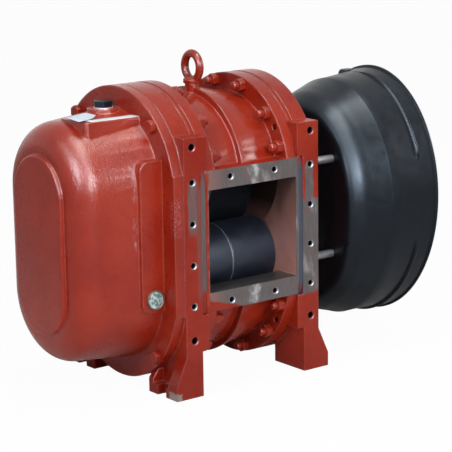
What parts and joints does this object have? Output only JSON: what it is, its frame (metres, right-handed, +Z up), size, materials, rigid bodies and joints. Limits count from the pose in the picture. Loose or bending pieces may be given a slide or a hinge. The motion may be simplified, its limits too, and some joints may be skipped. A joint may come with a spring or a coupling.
{
  "type": "rotary lobe pump",
  "caption": "Cast-iron rotary lobe pump with two rubber-covered lobe rotors, oil-filled timing gear case, side feet, lifting eye and an oval power take-off guard.",
  "frame": {"origin": "under the middle of the pump chamber, on the plane of the feet", "axes": "+X along the shafts towards the guard, -Y out of the front port, +Z up"},
  "size_m": [0.631, 0.3222, 0.4816],
  "materials": {
    "red_casting_paint": "gloss oxide red paint over rough cast iron",
    "red_fastener_paint": "gloss oxide red paint",
    "wear_plate_steel": "ground steel",
    "lobe_rubber": "satin black rubber",
    "rotor_iron": "machined",
    "shaft_steel": "turned",
    "gear_steel": "oiled, machined",
    "bearing_steel": "ground",
    "seal_face": "lapped",
    "gasket_sheet": "matte",
    "bare_steel": "bare, lightly oxidised",
    "zinc_steel": "zinc plated",
    "guard_plastic": "satin black moulded plastic",
    "black_plug": "black oxide",
    "sealing_washer": "plain",
    "sight_ring_metal": "black oxide",
    "sight_glass": "clear, with oil behind it"
  },
  "bodies": {
    "pump_body": {"pump_casing": "red_casting_paint", "gear_side_housing": "red_casting_paint", "drive_side_housing": "red_casting_paint", "gear_side_wear_plate": "wear_plate_steel", "drive_side_wear_plate": "wear_plate_steel", "gear_cover": "red_casting_paint", "gear_cover_gasket": "gasket_sheet", "gear_cover_bolts": "red_fastener_paint", "oil_filler_plug": "black_plug", "oil_filler_washer": "sealing_washer", "oil_drain_plug": "black_plug", "oil_drain_washer": "sealing_washer", "sight_glass": "sight_glass", "sight_glass_ring": "sight_ring_metal", "lifting_eye_bolt": "red_fastener_paint", "gear_side_studs": "red_fastener_paint", "drive_side_studs": "red_fastener_paint", "gear_side_nuts": "red_fastener_paint", "drive_side_nuts": "red_fastener_paint", "guard_studs": "bare_steel", "bearing_retainer_plate": "gear_steel", "drive_end_cover": "red_casting_paint", "drive_end_cover_screws": "zinc_steel", "drive_shaft_lip_seal": "lobe_rubber", "guard_bell": "guard_plastic", "guard_washers": "zinc_steel", "guard_nuts": "zinc_steel", "seal_seats": "seal_face", "bearing_outer_rings": "bearing_steel"},
    "drive_rotor": {"drive_shaft": "shaft_steel", "drive_rotor_core": "rotor_iron", "drive_rotor_rubber_left": "lobe_rubber", "drive_rotor_rubber_right": "lobe_rubber", "drive_rotor_key": "shaft_steel", "drive_timing_gear": "gear_steel", "drive_gear_key": "shaft_steel", "drive_gear_spacer": "shaft_steel", "drive_shaft_nut": "zinc_steel", "drive_seal_rings": "seal_face", "drive_bearing_inner_rings": "bearing_steel", "drive_bearing_rollers": "bearing_steel"},
    "idler_rotor": {"idler_shaft": "shaft_steel", "idler_rotor_core": "rotor_iron", "idler_rotor_rubber_left": "lobe_rubber", "idler_rotor_rubber_right": "lobe_rubber", "idler_rotor_key": "shaft_steel", "idler_timing_gear": "gear_steel", "idler_gear_key": "shaft_steel", "idler_gear_spacer": "shaft_steel", "idler_shaft_nut": "zinc_steel", "idler_seal_rings": "seal_face", "idler_bearing_inner_rings": "bearing_steel", "idler_bearing_rollers": "bearing_steel"}
  },
  "joints": [
    {"name": "drive_shaft_spin", "type": "hinge", "parent": "pump_body", "child": "drive_rotor", "pos_m": [0, 0, 0.151], "axis": [1, 0, 0], "continuous": true},
    {"name": "idler_shaft_spin", "type": "hinge", "parent": "pump_body", "child": "idler_rotor", "pos_m": [0, 0, 0.299], "axis": [1, 0, 0], "continuous": true}
  ],
  "couplings": [
    {"joint": "idler_shaft_spin", "follows": "drive_shaft_spin", "ratio": -1}
  ]
}
